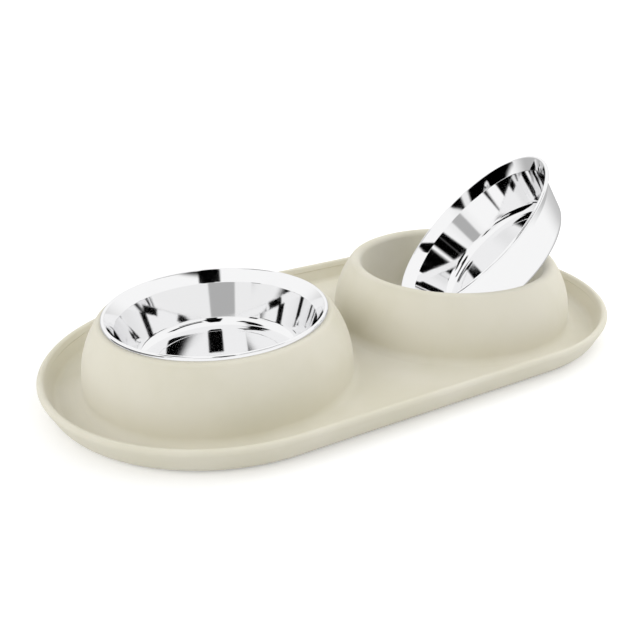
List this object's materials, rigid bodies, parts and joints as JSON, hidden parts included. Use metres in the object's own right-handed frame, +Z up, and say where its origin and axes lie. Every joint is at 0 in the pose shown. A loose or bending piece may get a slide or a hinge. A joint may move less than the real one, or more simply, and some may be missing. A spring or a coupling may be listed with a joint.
{
  "type": "double pet bowl",
  "caption": "Soft moulded tray with a raised lip and two round raised holders, each carrying a loose pressed steel feeding bowl by its rolled rim.",
  "frame": {"origin": "on the ground, under the middle of the tray", "axes": "+X along the tray from the left bowl to the right bowl, +Y to the back, +Z up"},
  "size_m": [0.4074, 0.2274, 0.118],
  "materials": {
    "silicone": "matte",
    "polished_steel": "polished"
  },
  "bodies": {
    "base": {"base": "silicone"},
    "left_bowl": {"left_bowl": "polished_steel"},
    "right_bowl": {"right_bowl": "polished_steel"}
  },
  "joints": [
    {"name": "left_bowl_lift", "type": "slide", "parent": "base", "child": "left_bowl", "axis": [0, 0, 1], "range_m": [0, 0.08]},
    {"name": "right_bowl_lift", "type": "slide", "parent": "base", "child": "right_bowl", "axis": [0, 0, 1], "range_m": [0, 0.08]}
  ]
}
